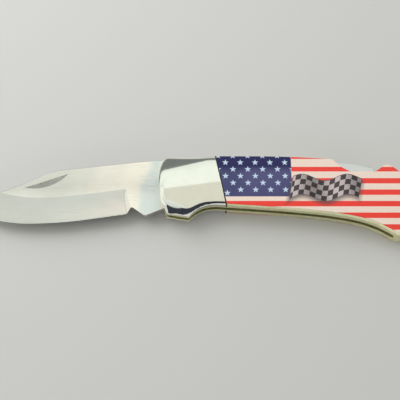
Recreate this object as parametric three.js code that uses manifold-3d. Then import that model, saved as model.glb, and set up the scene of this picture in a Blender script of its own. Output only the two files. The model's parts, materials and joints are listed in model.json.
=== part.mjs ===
// Lock-back folding knife, blade open, lying on its far side.
// Millimetres. +X runs to the butt, -X to the blade's tip, +Y to the back of the handle, +Z to the near side.
// The origin is on the pivot axis, on the far bolster's outer face.

import * as THREE from "three";
import { mergeVertices } from "three/addons/utils/BufferGeometryUtils.js";
import Module from "manifold-3d";

const wasm = await Module();
wasm.setup();

// Thicknesses, from the far face to the near face
const bladeThickness = 2.5;
const bladeSideClearance = 0.15;
const linerThickness = 0.9;
const bolsterThickness = 3.2;
const panelThickness = 0.4;

// Pins and rivets
const pivotPinRadius = 2.0;
const rockerPinRadius = 1.25;
const rivetRadius = 1.25;
const bolsterPinRadius = 1.0;
const runningClearance = 0.05;
const seatClearance = 0.03;
const bolsterSkin = 1.2;
const roundSegments = 32;

// Lock: hook of the bar, notch and tooth of the tang
const tangRadius = 8.3;
const hookClearance = 0.25;
const hookFrontX = -1.2;
const hookRearX = 3.3;
const hookHeelEase = 0.6;
const lockFaceGap = 0.3;
const toothGap = 0.25;
const notchDepth = 2.2;
const tangReliefDepth = 6.2;

// Lock bar, from its underside over the tang to its tail in the thumb cut-out
const tangToBar = 1.5;
const barDepth = 4.4;
const barRearFall = 0.9;
const barBossRadius = 3.0;
const barTailFall = 2.4;
const barTailDepth = 2.75;
const barTailEndX = 83.9;
const barTailGap = 0.45;
const barUndersideFront = tangRadius + tangToBar;
const barUndersideRear = barUndersideFront - barRearFall;
const barTailUnderside = barUndersideFront - barTailFall;
const barTailTop = barTailUnderside + barTailDepth;

// Back of the handle
const backHeight = barUndersideFront + barDepth;
const backStraightEnd = 31.3;
const cutoutFrontX = 66.2;
const cutoutFrontDrop = 1.45;
const cutoutBelowTail = 0.2;
const cutoutFloorFront = 73.7;
const cutoutFloorRear = 82.8;
const humpX = 89.0;
const humpRise = 3.1;
const cutoutFloorHeight = barTailUnderside - cutoutBelowTail;
const humpHeight = cutoutFloorHeight + humpRise;

// Soft corner of the back's fall to the thumb cut-out, measured from the front of the cut-out
const backFallCorner = [(backStraightEnd - cutoutFrontX) / 2 + 1.5, cutoutFrontDrop];

// Places of the pins, from the pivot axis
const rockerPinRise = 0.8;
const upperRivetBelowFloor = 4.6;
const rockerPinAt = new THREE.Vector2(42, barUndersideFront + rockerPinRise);
const upperRivetAt = new THREE.Vector2(91.5, cutoutFloorHeight - upperRivetBelowFloor);
const heelRivetAt = new THREE.Vector2(95.8, -14.2);
const bolsterPinAt = new THREE.Vector2(12.5, 4.0);

// Front and belly of the bolsters
const bolsterFrontX = -7.25;
const bolsterFrontRadius = 30;
const bolsterFrontMiddle = 2.6;
const bolsterFootHeight = -7.6;
const bolsterToe = new THREE.Vector2(-4.0, -10.85);
const bolsterBellyTip = new THREE.Vector2(5.3, -12.45);
const bellyStart = new THREE.Vector2(16.95, -7.4);

// Belly, heel and butt of the handle
const heelSlotEnd = new THREE.Vector2(90.2, -20.2);
const heelPoint = new THREE.Vector2(92.6, -21.0);
const buttMiddle = new THREE.Vector2(101.6, -9.5);
const buttTopBelowFloor = 0.2;
const buttTop = new THREE.Vector2(94.2, cutoutFloorHeight - buttTopBelowFloor);

// Slanted joint between bolster and scale
const jointX = 19.29;
const jointSlope = 0.2;
const jointStripWidth = 0.45;

// Round-over of the bolsters, wide and soft at the front and narrow at the joint
const bolsterFrontRim = 1.2;
const bolsterBackRimFront = 4.7;
const bolsterBackRimJoint = 0.9;
const bolsterBackDropFront = 1.5;
const bolsterBackDropJoint = 0.8;
const bolsterBellyRimFront = 5.2;
const bolsterBellyRimJoint = 1.3;
const bolsterBellyDropFront = 2.2;
const bolsterBellyDropJoint = 1.0;
const bolsterRimPower = 1.6;
const bolsterRimSteps = 8;

// Bevel of the scales
const scaleBevelDrop = 1.0;
const scaleBevelFront = 0.4;
const scaleBevelHeel = 0.65;
const scaleBevelBack = 0.12;
const panelEdgeBreak = 0.12;

// Leaf spring of the lock
const springThickness = 1.0;
const springWidth = 2.3;
const springRootFall = 1.5;
const springRootDepth = 4.6;
const springTipX = 67.5;
const springContactGap = 0.05;
const springRootHeight = barTailUnderside - springRootFall;

// Front of the rear spacer, clear of the sweep of the blade's tip
const spacerFootHeight = 0.5;
const spacerSweepTop = -4;
const spacerSweepBottom = -15;

// Outline of the blade
const spineShoulderFall = 4.5;
const clipStartFall = 7.1;
const spineShoulder = new THREE.Vector2(-46.65, backHeight - spineShoulderFall);
const clipStart = new THREE.Vector2(-56.2, backHeight - clipStartFall);
const bladeTip = new THREE.Vector2(-90.2, -5.2);
const edgeLowest = new THREE.Vector2(-58.0, -14.45);
const edgeHeel = new THREE.Vector2(-20.95, -10.4);
const choilApex = new THREE.Vector2(-18.55, -7.5);
const kickTip = new THREE.Vector2(-13.05, -11.1);
const kickSlope = 0.413;

// Hollow grind of the blade
const grindStart = new THREE.Vector2(-21.25, 0.9);
const grindLowest = new THREE.Vector2(-59.0, -3.15);
const grindEnd = new THREE.Vector2(-93.0, 5.0);
const plungeSlant = -0.253;
const plungeLength = 2.0;
const slantFade = 9.0;
const grindStations = 30;
const grindStationPower = 1.8;
const hollowDepth = 0.18;
const edgeShoulderHeight = 0.7;
const edgeShoulderHalf = 0.32;
const edgeHalf = 0.05;

// Nail nick on the near side
const nickStart = new THREE.Vector2(-64.1, 1.3);
const nickEnd = new THREE.Vector2(-45.9, 7.6);
const nickWidth = 2.65;
const nickDepth = 0.75;
const nickStations = 16;

// Heights that follow from the thicknesses
const slotWidth = bladeThickness + 2 * bladeSideClearance;
const farLinerZ = bolsterThickness;
const slotZ = farLinerZ + linerThickness;
const nearLinerZ = slotZ + slotWidth;
const nearCoverZ = nearLinerZ + linerThickness;
const handleThickness = nearCoverZ + bolsterThickness;
const bladeZ = slotZ + bladeSideClearance;
const bladeMiddleZ = bladeZ + bladeThickness / 2;
const panelZ = handleThickness - panelThickness;
const scaleBevelZ = panelZ - scaleBevelDrop;
const pivotPinEnd = handleThickness - bolsterSkin;
const cutReach = 1.5;

// Materials
const polishedSteel = new THREE.MeshStandardMaterial({ color: 0xdfe0d8, roughness: 0.12, metalness: 1 });
const bladeSteel = new THREE.MeshStandardMaterial({ color: 0xd9d9cf, roughness: 0.28, metalness: 1 });
const springSteel = new THREE.MeshStandardMaterial({ color: 0xb9bcb8, roughness: 0.35, metalness: 1 });
const brass = new THREE.MeshStandardMaterial({ color: 0xb5a866, roughness: 0.35, metalness: 1 });
const printedPanel = new THREE.MeshStandardMaterial({ color: 0xd8463c, roughness: 0.18, metalness: 0 });
const blackFibre = new THREE.MeshStandardMaterial({ color: 0x1d1f1a, roughness: 0.7, metalness: 0 });

const knife = new THREE.Group();

// A point that lies away from another by dx, dy.
function near(point, dx, dy) {
  return new THREE.Vector2(point.x + dx, point.y + dy);
}

// Goes on from the end of a path in a smooth curve. Each handle is measured from its own end.
function bend(path, leaving, arriving, end) {
  const start = path.currentPoint;
  path.bezierCurveTo(
    start.x + leaving[0],
    start.y + leaving[1],
    end.x + arriving[0],
    end.y + arriving[1],
    end.x,
    end.y,
  );
}

// Goes on from the end of a path round one soft corner, measured from the new end.
function roundOff(path, corner, end) {
  path.quadraticCurveTo(end.x + corner[0], end.y + corner[1], end.x, end.y);
}

function closedGeometry(vertices, triangles) {
  const geometry = new THREE.BufferGeometry();
  geometry.setAttribute("position", new THREE.Float32BufferAttribute(vertices.flat(), 3));
  geometry.setIndex(triangles.flat());
  return geometry;
}

function toSolid(geometry) {
  const bare = geometry.clone();
  bare.deleteAttribute("normal");
  bare.deleteAttribute("uv");
  const merged = mergeVertices(bare, 1e-5);
  const mesh = new wasm.Mesh({
    numProp: 3,
    vertProperties: new Float32Array(merged.attributes.position.array),
    triVerts: new Uint32Array(merged.index.array),
  });
  return new wasm.Manifold(mesh);
}

function toGeometry(solid) {
  const mesh = solid.getMesh();
  const geometry = new THREE.BufferGeometry();
  geometry.setAttribute("position", new THREE.BufferAttribute(mesh.vertProperties, 3));
  geometry.setIndex(new THREE.BufferAttribute(mesh.triVerts, 1));
  return geometry;
}

function cut(geometry, cutters) {
  let solid = toSolid(geometry);
  for (const cutter of cutters) {
    solid = solid.subtract(toSolid(cutter));
  }
  return toGeometry(solid);
}

function common(first, second) {
  return toGeometry(toSolid(first).intersect(toSolid(second)));
}

// The same geometry seen from the other side of the handle's middle plane.
function mirrored(geometry) {
  const copy = geometry.index ? geometry.toNonIndexed() : geometry.clone();
  copy.deleteAttribute("normal");
  copy.deleteAttribute("uv");
  const place = copy.attributes.position;
  for (let corner = 0; corner < place.count; corner += 3) {
    const first = [place.getX(corner), place.getY(corner), place.getZ(corner)];
    const second = [place.getX(corner + 1), place.getY(corner + 1), place.getZ(corner + 1)];
    const third = [place.getX(corner + 2), place.getY(corner + 2), place.getZ(corner + 2)];
    [first, third, second].forEach((point, step) => {
      place.setXYZ(corner + step, point[0], point[1], handleThickness - point[2]);
    });
  }
  return copy;
}

function circlePoints(center, radius) {
  const points = [];
  for (let step = 0; step < roundSegments; step += 1) {
    const angle = (step / roundSegments) * 2 * Math.PI;
    points.push(near(center, radius * Math.cos(angle), radius * Math.sin(angle)));
  }
  return points;
}

// A flat plate of the given outline between two heights, with round holes.
function plate(outline, low, high, holes = []) {
  const shape = new THREE.Shape(outline);
  for (const [center, radius] of holes) {
    shape.holes.push(new THREE.Path(circlePoints(center, radius)));
  }
  const geometry = new THREE.ExtrudeGeometry(shape, { depth: high - low, bevelEnabled: false });
  geometry.translate(0, 0, low);
  return geometry;
}

function pin(center, radius, low, high) {
  return plate(circlePoints(center, radius), low, high);
}

// The outline moved inwards, each edge by its own width. The outline runs anticlockwise.
function inset(outline, widthOf) {
  const smoothTurn = 0.3;
  const count = outline.length;
  const edges = outline.map((point, index) => {
    const next = outline[(index + 1) % count];
    const along = next.clone().sub(point).normalize();
    const inward = new THREE.Vector2(-along.y, along.x);
    const middle = point.clone().lerp(next, 0.5);
    return { along, inward, width: widthOf(middle, inward) };
  });
  return outline.map((point, index) => {
    const before = edges[(index + count - 1) % count];
    const after = edges[index];
    if (Math.abs(before.along.cross(after.along)) < smoothTurn) {
      const inward = before.inward.clone().add(after.inward).normalize();
      return point.clone().addScaledVector(inward, (before.width + after.width) / 2);
    }
    const turn = before.inward.cross(after.inward);
    const dx = (before.width * after.inward.y - after.width * before.inward.y) / turn;
    const dy = (after.width * before.inward.x - before.width * after.inward.x) / turn;
    return near(point, dx, dy);
  });
}

// A closed solid through rings of [x, y, z] points that run anticlockwise, from the bottom ring up.
function stacked(rings) {
  const count = rings[0].length;
  const flat = (ring) => ring.map((point) => new THREE.Vector2(point[0], point[1]));
  const triangles = THREE.ShapeUtils.triangulateShape(flat(rings[0]), []).map(([a, b, c]) => [a, c, b]);
  for (let level = 0; level + 1 < rings.length; level += 1) {
    for (let index = 0; index < count; index += 1) {
      const low = level * count + index;
      const lowNext = level * count + ((index + 1) % count);
      triangles.push([low, lowNext, lowNext + count]);
      triangles.push([low, lowNext + count, low + count]);
    }
  }
  const top = (rings.length - 1) * count;
  for (const face of THREE.ShapeUtils.triangulateShape(flat(rings.at(-1)), [])) {
    triangles.push(face.map((corner) => corner + top));
  }
  return closedGeometry(rings.flat(), triangles);
}

function atHeight(ring, z) {
  return ring.map((point) => [point.x, point.y, z]);
}

// A solid through rings of [x, y, z] points with the same count, with flat ends.
function loft(rings) {
  const count = rings[0].length;
  const vertices = rings.flat();
  const triangles = [];
  for (let ring = 0; ring + 1 < rings.length; ring += 1) {
    for (let index = 0; index < count; index += 1) {
      const here = ring * count + index;
      const next = ring * count + ((index + 1) % count);
      triangles.push([here, next, next + count]);
      triangles.push([here, next + count, here + count]);
    }
  }
  const flat = (ring) => ring.map((point) => new THREE.Vector2(point[1], point[2]));
  const clockwise = THREE.ShapeUtils.isClockWise(flat(rings[0]));
  const last = (rings.length - 1) * count;
  for (const [a, b, c] of THREE.ShapeUtils.triangulateShape(flat(rings[0]), [])) {
    triangles.push(clockwise ? [a, b, c] : [a, c, b]);
  }
  for (const [a, b, c] of THREE.ShapeUtils.triangulateShape(flat(rings.at(-1)), [])) {
    triangles.push(clockwise ? [last + a, last + c, last + b] : [last + a, last + b, last + c]);
  }
  return closedGeometry(vertices, facingOut(vertices, triangles));
}

function facingOut(vertices, triangles) {
  let volume = 0;
  for (const [a, b, c] of triangles) {
    const first = new THREE.Vector3(...vertices[a]);
    const second = new THREE.Vector3(...vertices[b]);
    const third = new THREE.Vector3(...vertices[c]);
    volume += first.dot(second.cross(third));
  }
  return volume > 0 ? triangles : triangles.map(([a, b, c]) => [a, c, b]);
}

// Height of a run of points at a place along X, carried on past both ends.
function heightAt(points, x) {
  const run = [...points].sort((a, b) => a.x - b.x);
  let index = run.findIndex((point) => point.x >= x);
  if (index < 0) {
    index = run.length - 1;
  }
  index = Math.max(index, 1);
  const left = run[index - 1];
  const right = run[index];
  return left.y + ((x - left.x) / (right.x - left.x)) * (right.y - left.y);
}

function add(name, geometry, material) {
  const mesh = new THREE.Mesh(geometry, material);
  mesh.name = name;
  knife.add(mesh);
}

// Outline of the handle, anticlockwise from the top of the bolster's front.
function handleOutline() {
  const frontCenter = new THREE.Vector2(bolsterFrontX + bolsterFrontRadius, bolsterFrontMiddle);
  const angleTo = (height) => Math.PI - Math.asin((height - bolsterFrontMiddle) / bolsterFrontRadius);
  const top = angleTo(backHeight);
  const foot = angleTo(bolsterFootHeight);
  const cutoutFront = new THREE.Vector2(cutoutFrontX, backHeight - cutoutFrontDrop);
  const path = new THREE.Path();
  path.absarc(frontCenter.x, frontCenter.y, bolsterFrontRadius, top, foot, false);
  path.lineTo(bolsterToe.x, bolsterToe.y);
  path.lineTo(bolsterBellyTip.x, bolsterBellyTip.y);
  bend(path, [2.9, 2.9], [-6, -0.05], bellyStart);
  bend(path, [58, -3.7], [-10.9, 6.8], heelSlotEnd);
  roundOff(path, [-1.2, 0.05], heelPoint);
  bend(path, [4.4, 0.7], [-0.2, -7.2], buttMiddle);
  bend(path, [0.1, 6], [4.4, -3.8], buttTop);
  bend(path, [-1.4, 0.9], [2.4, 0], new THREE.Vector2(humpX, humpHeight));
  bend(path, [-2.4, 0], [2.4, 0], new THREE.Vector2(cutoutFloorRear, cutoutFloorHeight));
  path.lineTo(cutoutFloorFront, cutoutFloorHeight);
  roundOff(path, [3.3, cutoutFloorHeight + 1.4 - cutoutFront.y], cutoutFront);
  path.quadraticCurveTo(
    cutoutFront.x + backFallCorner[0],
    cutoutFront.y + backFallCorner[1],
    backStraightEnd,
    backHeight,
  );
  return withoutRepeats(path.getPoints(10));
}

// Points of an outline, without the neighbours that lie on the same spot.
function withoutRepeats(points) {
  const apart = 0.02;
  return points.filter((point, index) => {
    const before = points[(index + points.length - 1) % points.length];
    return point.distanceTo(before) > apart;
  });
}

// The part of an outline that lies behind or in front of the slanted joint, moved back by the offset.
function clipAtJoint(outline, offset, behind) {
  const side = (point) => (point.x - jointAt(point.y) - offset) * (behind ? 1 : -1);
  const kept = [];
  outline.forEach((point, index) => {
    const next = outline[(index + 1) % outline.length];
    const here = side(point);
    const there = side(next);
    if (here >= 0) {
      kept.push(point);
    }
    if (here * there < 0) {
      kept.push(point.clone().lerp(next, here / (here - there)));
    }
  });
  return kept;
}

// Whether an edge lies on the slanted joint, by its inward direction.
function onJoint(middle, inward) {
  const distance = Math.abs(middle.x - jointAt(middle.y));
  return distance < 2 * jointStripWidth && Math.abs(inward.x) > 0.9;
}

// Place of the slanted joint at a height.
function jointAt(y) {
  return jointX - jointSlope * y;
}

// The bolster's outline drawn in by a share of its rim, as [x, y, z] points on the round-over.
// The rear edge stays on the joint, and the rim widens from there to the front.
function bolsterRing(bolsterOutline, share) {
  const low = bolsterBellyTip.y;
  const length = jointAt(bolsterFrontMiddle) - bolsterFrontX;
  const { lerp, smoothstep } = THREE.MathUtils;
  return bolsterOutline.map((point) => {
    const height = (point.y - low) / (backHeight - low);
    const forward = Math.min((jointAt(point.y) - point.x) / length, 1);
    const lowered = lerp(bolsterBackRimJoint, bolsterBackRimFront, forward) * height ** 3;
    const raised = lerp(bolsterBellyRimJoint, bolsterBellyRimFront, forward) * (1 - height) ** 2;
    const y = point.y + share * (raised - lowered);
    const ahead = (jointAt(point.y) - point.x) * (1 - (share * bolsterFrontRim) / length);
    const backDrop = lerp(bolsterBackDropJoint, bolsterBackDropFront, forward);
    const bellyDrop = lerp(bolsterBellyDropJoint, bolsterBellyDropFront, forward);
    const drop = lerp(bellyDrop, backDrop, smoothstep(height, 0.1, 0.9));
    return [jointAt(y) - ahead, y, handleThickness - drop * (1 - share) ** bolsterRimPower];
  });
}

function scaleRim(middle, inward) {
  if (onJoint(middle, inward)) {
    return 0;
  }
  const alongHandle = THREE.MathUtils.smoothstep(middle.x, 40, heelSlotEnd.x);
  const bellyWidth = THREE.MathUtils.lerp(scaleBevelFront, scaleBevelHeel, alongHandle);
  const facing = THREE.MathUtils.smoothstep(inward.y, -0.6, 0.4);
  return THREE.MathUtils.lerp(scaleBevelBack, bellyWidth, facing);
}

function makeBolsters(outline) {
  const bolsterOutline = clipAtJoint(outline, 0, false);
  const rings = [atHeight(bolsterOutline, nearCoverZ)];
  for (let step = 0; step <= bolsterRimSteps; step += 1) {
    rings.push(bolsterRing(bolsterOutline, step / bolsterRimSteps));
  }
  const blank = stacked(rings);
  const pivotBore = pin(
    new THREE.Vector2(),
    pivotPinRadius + seatClearance,
    nearCoverZ - cutReach,
    pivotPinEnd + seatClearance,
  );
  const pinBore = pin(
    bolsterPinAt,
    bolsterPinRadius + seatClearance,
    nearCoverZ - cutReach,
    pivotPinEnd + seatClearance,
  );
  const bolster = cut(blank, [pivotBore, pinBore]);
  const bolsterPin = pin(bolsterPinAt, bolsterPinRadius, nearLinerZ, pivotPinEnd);
  add("near_bolster", bolster, polishedSteel);
  add("far_bolster", mirrored(bolster), polishedSteel);
  add("near_bolster_pin", bolsterPin, brass);
  add("far_bolster_pin", mirrored(bolsterPin), brass);
}

function makeScales(outline) {
  const scaleOutline = clipAtJoint(outline, jointStripWidth, true);
  const panelOutline = inset(scaleOutline, scaleRim);
  const edgeBreak = (middle, inward) => (onJoint(middle, inward) ? 0 : panelEdgeBreak);
  const scale = stacked([
    atHeight(scaleOutline, nearCoverZ),
    atHeight(scaleOutline, scaleBevelZ),
    atHeight(panelOutline, panelZ),
  ]);
  const panel = stacked([
    atHeight(panelOutline, panelZ),
    atHeight(panelOutline, handleThickness - panelEdgeBreak),
    atHeight(inset(panelOutline, edgeBreak), handleThickness),
  ]);
  const stripOutline = clipAtJoint(clipAtJoint(outline, 0, true), jointStripWidth, false);
  const strip = plate(stripOutline, nearCoverZ, handleThickness - panelEdgeBreak);
  add("near_scale", scale, brass);
  add("far_scale", mirrored(scale), brass);
  add("near_flag_panel", panel, printedPanel);
  add("far_flag_panel", mirrored(panel), printedPanel);
  add("near_joint_strip", strip, blackFibre);
  add("far_joint_strip", mirrored(strip), blackFibre);
}

function makeLiners(outline) {
  const holes = [
    [new THREE.Vector2(), pivotPinRadius + seatClearance],
    [rockerPinAt, rockerPinRadius + seatClearance],
    [upperRivetAt, rivetRadius + seatClearance],
    [heelRivetAt, rivetRadius + seatClearance],
    [bolsterPinAt, bolsterPinRadius + seatClearance],
  ];
  const liner = plate(outline, nearLinerZ, nearCoverZ, holes);
  add("near_liner", liner, brass);
  add("far_liner", mirrored(liner), brass);
}

function makePins() {
  add("pivot_pin", pin(new THREE.Vector2(), pivotPinRadius, bolsterSkin, pivotPinEnd), springSteel);
  add("rocker_pin", pin(rockerPinAt, rockerPinRadius, farLinerZ, nearCoverZ), springSteel);
  add("rear_rivet_upper", pin(upperRivetAt, rivetRadius, farLinerZ, nearCoverZ), brass);
  add("rear_rivet_heel", pin(heelRivetAt, rivetRadius, farLinerZ, nearCoverZ), brass);
}

// The spacer fills the slot behind the tail of the lock bar and the sweep of the blade's tip.
function makeRearSpacer(outline) {
  const beyond = 200;
  const front = barTailEndX + barTailGap;
  const sweep = heelSlotEnd.length();
  const sweepTop = spacerSweepTop * THREE.MathUtils.DEG2RAD;
  const sweepBottom = spacerSweepBottom * THREE.MathUtils.DEG2RAD;
  const sweepStart = new THREE.Vector2(Math.cos(sweepTop), Math.sin(sweepTop)).multiplyScalar(sweep);
  const region = new THREE.Path();
  region.moveTo(front, beyond);
  region.lineTo(front, spacerFootHeight);
  region.quadraticCurveTo(sweepStart.x - 0.6, -spacerFootHeight, sweepStart.x, sweepStart.y);
  region.absarc(0, 0, sweep, sweepTop, sweepBottom, true);
  region.lineTo(sweep * Math.cos(sweepBottom), -beyond);
  region.lineTo(beyond, -beyond);
  region.lineTo(beyond, beyond);
  const blank = common(
    plate(outline, slotZ, nearLinerZ),
    plate(withoutRepeats(region.getPoints(10)), slotZ - cutReach, nearLinerZ + cutReach),
  );
  const holes = [upperRivetAt, heelRivetAt].map((center) =>
    pin(center, rivetRadius + seatClearance, slotZ - cutReach, nearLinerZ + cutReach),
  );
  const pocketHalf = springThickness / 2 + seatClearance;
  const pocket = new THREE.BoxGeometry(
    springRootDepth + seatClearance + cutReach,
    2 * pocketHalf,
    springWidth + 2 * seatClearance,
  );
  pocket.translate(
    front + (springRootDepth + seatClearance - cutReach) / 2,
    springRootHeight,
    bladeMiddleZ,
  );
  add("rear_spacer", cut(blank, [...holes, pocket]), brass);
}

// Outline of the lock bar, anticlockwise from the rear of its hook. Its back lies flush with the handle's.
function barOutline() {
  const hookRadius = tangRadius + hookClearance;
  const hookRear = Math.acos(hookRearX / hookRadius);
  const hookFront = Math.acos(hookFrontX / hookRadius);
  const bossLeft = Math.PI + Math.asin((rockerPinAt.y - barUndersideFront) / barBossRadius);
  const bossRight = 2 * Math.PI - Math.asin((rockerPinAt.y - barUndersideRear) / barBossRadius);
  const cutoutFront = new THREE.Vector2(cutoutFrontX, backHeight - cutoutFrontDrop);
  const rearOfBoss = new THREE.Vector2(rockerPinAt.x + 3 * barBossRadius, barUndersideRear);
  const path = new THREE.Path();
  path.absarc(0, 0, hookRadius, hookRear, hookFront, false);
  path.lineTo(hookFrontX, backHeight);
  path.lineTo(backStraightEnd, backHeight);
  roundOff(path, backFallCorner, cutoutFront);
  bend(path, [6.5, 0.4], [-7, cutoutFront.y - barTailTop - 0.2], new THREE.Vector2(barTailEndX, barTailTop));
  path.lineTo(barTailEndX, barTailUnderside + 1);
  roundOff(path, [1, 0], new THREE.Vector2(barTailEndX - 1, barTailUnderside));
  path.lineTo(springTipX - 1, barTailUnderside);
  path.quadraticCurveTo(springTipX - 8, barTailUnderside, rearOfBoss.x, rearOfBoss.y);
  path.absarc(rockerPinAt.x, rockerPinAt.y, barBossRadius, bossRight, bossLeft, true);
  path.lineTo(hookRearX + hookHeelEase, barUndersideFront);
  path.lineTo(hookRearX, barUndersideFront - hookHeelEase);
  return withoutRepeats(path.getPoints(12));
}

function makeLockBar() {
  const hole = [rockerPinAt, rockerPinRadius + runningClearance];
  add("lock_bar", plate(barOutline(), bladeZ, bladeZ + bladeThickness, [hole]), springSteel);
}

// A bent leaf: straight in the spacer's pocket, then rising until its tip bears on the bar's tail.
function makeLockSpring() {
  const front = barTailEndX + barTailGap;
  const contactHeight = barTailUnderside - springContactGap - springThickness / 2;
  const leaf = new THREE.Path();
  leaf.moveTo(front + springRootDepth, springRootHeight);
  leaf.lineTo(front - 1, springRootHeight);
  bend(leaf, [-7, 0], [5, 0], new THREE.Vector2(springTipX, contactHeight));
  const middle = withoutRepeats(leaf.getPoints(12));
  const half = springThickness / 2;
  const aside = middle.map((point, index) => {
    const before = middle[Math.max(index - 1, 0)];
    const after = middle[Math.min(index + 1, middle.length - 1)];
    const along = after.clone().sub(before).normalize();
    return new THREE.Vector2(-along.y, along.x).multiplyScalar(half);
  });
  const oneSide = middle.map((point, index) => point.clone().add(aside[index]));
  const otherSide = middle.map((point, index) => point.clone().sub(aside[index])).reverse();
  const low = bladeMiddleZ - springWidth / 2;
  add("lock_spring", plate([...oneSide, ...otherSide], low, low + springWidth), springSteel);
}

function edgeCurve() {
  const edge = new THREE.Path();
  edge.moveTo(edgeHeel.x, edgeHeel.y);
  bend(edge, [-13, -1.9], [12, 0], edgeLowest);
  bend(edge, [-14, 0], [8.2, -6.8], bladeTip);
  return withoutRepeats(edge.getPoints(14)).reverse();
}

// Outline of blade and tang, anticlockwise from the top of the lock face.
function bladeOutline() {
  const lockFaceX = hookFrontX - lockFaceGap;
  const toothX = hookRearX + toothGap;
  const toothAngle = Math.acos(toothX / tangRadius);
  const reliefAngle = -Math.asin(tangReliefDepth / tangRadius);
  const kickMeetsRelief = kickTip.x + (-tangReliefDepth - kickTip.y) / kickSlope;
  const notchFloorHeight = tangRadius - notchDepth;
  const back = new THREE.Path();
  back.moveTo(lockFaceX, backHeight);
  bend(back, [-9, 0], [22, 2.4], spineShoulder);
  roundOff(back, [3.7, 2], clipStart);
  back.quadraticCurveTo(
    (clipStart.x + bladeTip.x) / 2 + 3,
    (clipStart.y + bladeTip.y) / 2 - 1.3,
    bladeTip.x,
    bladeTip.y,
  );
  const tang = new THREE.Path();
  tang.moveTo(edgeHeel.x, edgeHeel.y);
  tang.lineTo(choilApex.x - 0.4, choilApex.y);
  tang.lineTo(choilApex.x + 0.3, choilApex.y);
  tang.lineTo(kickTip.x - 0.4, kickTip.y + 0.2);
  tang.lineTo(kickTip.x + 0.5, kickTip.y + 0.5 * kickSlope);
  tang.lineTo(kickMeetsRelief, -tangReliefDepth);
  tang.lineTo(tangRadius * Math.cos(reliefAngle), -tangReliefDepth);
  tang.absarc(0, 0, tangRadius, reliefAngle, toothAngle, false);
  tang.lineTo(toothX, notchFloorHeight);
  tang.lineTo(lockFaceX, notchFloorHeight);
  const points = [...back.getPoints(14), ...edgeCurve().slice(1), ...tang.getPoints(30)];
  return withoutRepeats(points);
}

// The wheel's cut on the near side: rings across the blade from the plunge to past the tip.
function grindCutter() {
  const grindLine = new THREE.Path();
  grindLine.moveTo(grindStart.x, grindStart.y);
  bend(grindLine, [-14, -2.2], [11, 0], grindLowest);
  bend(grindLine, [-9, 0], [17, -5.4], grindEnd);
  const grind = grindLine.getPoints(16);
  const edge = edgeCurve();
  const half = bladeThickness / 2;
  const above = half + cutReach;
  const shares = [1, 0.8, 0.6, 0.4, 0.2, 0];
  const rings = [];
  for (let station = 0; station <= grindStations; station += 1) {
    const share = station / grindStations;
    const distance = share ** grindStationPower * (grindStart.x - bladeTip.x + cutReach);
    const x = grindStart.x - distance;
    const depth = Math.sin(Math.min(distance / plungeLength, 1) * (Math.PI / 2));
    const slant = plungeSlant * Math.max(1 - distance / slantFade, 0);
    const xAt = (y) => x + slant * (y - grindStart.y);
    const top = heightAt(grind, x);
    const bottom = heightAt(edge, xAt(heightAt(edge, x)));
    const shoulder = bottom + edgeShoulderHeight;
    const lower = (target) => half + 0.01 - depth * (half + 0.01 - target);
    const ring = [[top + cutReach, above], [top + cutReach, half + 0.1 + 0.2 * cutReach]];
    for (const part of shares) {
      const straight = THREE.MathUtils.lerp(edgeShoulderHalf, half, part);
      const hollow = 4 * hollowDepth * part * (1 - part);
      ring.push([THREE.MathUtils.lerp(shoulder, top, part), lower(straight - hollow)]);
    }
    ring.push([bottom, lower(edgeHalf)]);
    ring.push([bottom - cutReach, lower(edgeHalf)]);
    ring.push([bottom - cutReach, above]);
    rings.push(ring.map(([y, z]) => [xAt(y), y, bladeMiddleZ + z]));
  }
  return loft(rings);
}

// A crescent with a straight steep wall towards the back, cut in the near face.
function nickCutter() {
  const along = nickEnd.clone().sub(nickStart);
  const down = new THREE.Vector2(along.y, -along.x).normalize();
  const face = bladeMiddleZ + bladeThickness / 2;
  const rings = [];
  for (let station = 0; station <= nickStations; station += 1) {
    const share = THREE.MathUtils.lerp(0.01, 0.99, station / nickStations);
    const swell = 4 * share * (1 - share);
    const start = nickStart.clone().addScaledVector(along, share);
    const section = [
      [0, cutReach],
      [0.05 * swell, -nickDepth * swell],
      [0.3 * nickWidth * swell, -0.8 * nickDepth * swell],
      [0.65 * nickWidth * swell, -0.35 * nickDepth * swell],
      [nickWidth * swell, 0.02],
      [nickWidth * swell + 0.1, cutReach],
    ];
    rings.push(
      section.map(([aside, rise]) => {
        const place = start.clone().addScaledVector(down, aside);
        return [place.x, place.y, face + rise];
      }),
    );
  }
  return loft(rings);
}

function makeBlade() {
  const bore = [new THREE.Vector2(), pivotPinRadius + runningClearance];
  const blank = plate(bladeOutline(), bladeZ, bladeZ + bladeThickness, [bore]);
  const grind = grindCutter();
  add("blade", cut(blank, [grind, mirrored(grind), nickCutter()]), bladeSteel);
}

const outline = handleOutline();
makeBolsters(outline);
makeScales(outline);
makeLiners(outline);
makePins();
makeRearSpacer(outline);
makeLockBar();
makeLockSpring();
makeBlade();

export default knife;
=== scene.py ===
"""Looks of the lock-back folding knife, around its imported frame.

Lengths are in metres, or in millimetres where a name ends in mm.
"""

import bisect
import json
import math

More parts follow.
